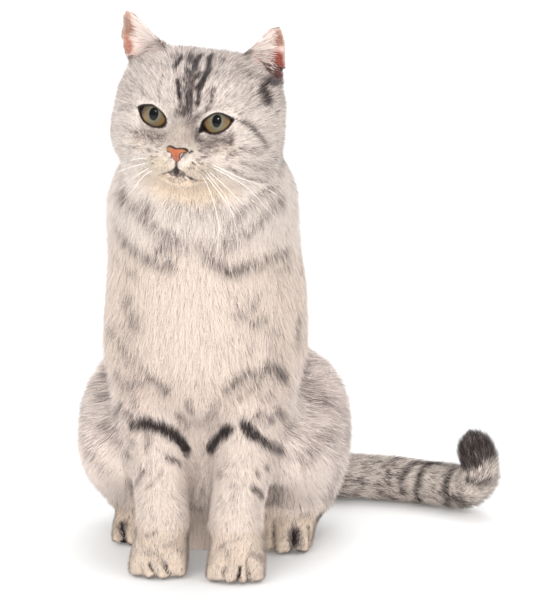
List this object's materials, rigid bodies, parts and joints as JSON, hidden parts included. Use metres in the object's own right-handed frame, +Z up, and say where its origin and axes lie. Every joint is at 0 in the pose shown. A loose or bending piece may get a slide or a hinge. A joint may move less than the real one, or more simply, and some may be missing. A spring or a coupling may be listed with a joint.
{
  "type": "cat",
  "caption": "Sitting shorthair cat with upright cupped ears, forelegs side by side and the tail laid to its left with the end curled up, as a still life-size model.",
  "frame": {"origin": "on the floor, under the middle of the whole cat's bounding box", "axes": "+Z up, the cat faces -Y, +X towards the cat's own left side, where the tail lies"},
  "size_m": [0.3108, 0.2934, 0.3829],
  "materials": {
    "coat": "short dense silver-grey fur with dark tabby bars",
    "cream_coat": "short cream fur",
    "dark_coat": "short dark grey fur",
    "nose_leather": "bare pebbled skin, slightly moist",
    "eye": "glossy wet eye, not see-through as a whole"
  },
  "bodies": {
    "root": {"head": "coat", "left_ear": "coat", "right_ear": "coat", "left_eye": "eye", "right_eye": "eye", "muzzle": "cream_coat", "nose": "nose_leather", "neck": "coat", "chest": "coat", "hips": "coat", "left_foreleg": "coat", "right_foreleg": "coat", "left_forepaw": "cream_coat", "right_forepaw": "cream_coat", "left_thigh": "coat", "right_thigh": "coat", "left_hock": "coat", "right_hock": "coat", "left_hindpaw": "cream_coat", "right_hindpaw": "cream_coat", "tail_root": "coat", "tail_middle": "coat", "tail_tip": "dark_coat"}
  },
  "joints": []
}
